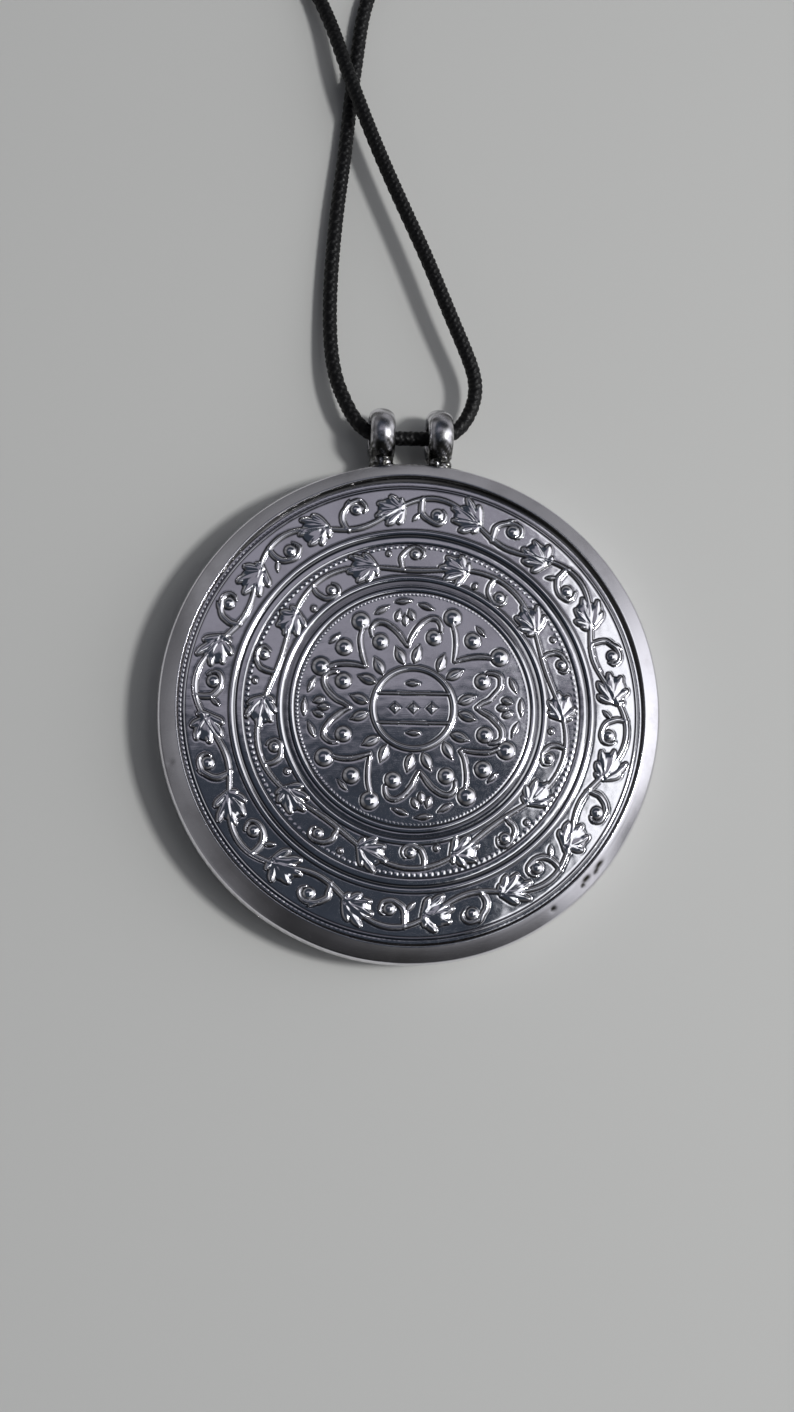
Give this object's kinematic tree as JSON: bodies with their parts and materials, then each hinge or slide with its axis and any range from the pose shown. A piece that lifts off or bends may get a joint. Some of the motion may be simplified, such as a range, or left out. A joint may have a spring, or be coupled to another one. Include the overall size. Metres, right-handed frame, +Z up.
{
  "type": "round pendant on a neck cord",
  "caption": "Round silver pendant with an embossed vine and flower face, a raised rim and soldered ring bails, lying on a surface on a loop of braided neck cord.",
  "frame": {"origin": "centre of the plain underside, on the surface that the pendant lies on", "axes": "+Z up through the embossed face, +Y from the disc's centre towards the bails, +X to the right seen from above"},
  "size_m": [0.055, 0.2168, 0.0064],
  "materials": {
    "polished_silver": "polished, with nicks and a few dark pits",
    "embossed_silver": "polished, darkened in the recesses",
    "plain_silver": "polished, with fine scratches",
    "black_braid": "braided, slightly glossy",
    "black_braid_knot": "braided and wrapped"
  },
  "bodies": {
    "root": {"case_rim": "polished_silver", "embossed_face": "embossed_silver", "underside_plate": "plain_silver", "neck_cord": "black_braid", "cord_knot": "black_braid_knot"}
  },
  "joints": []
}
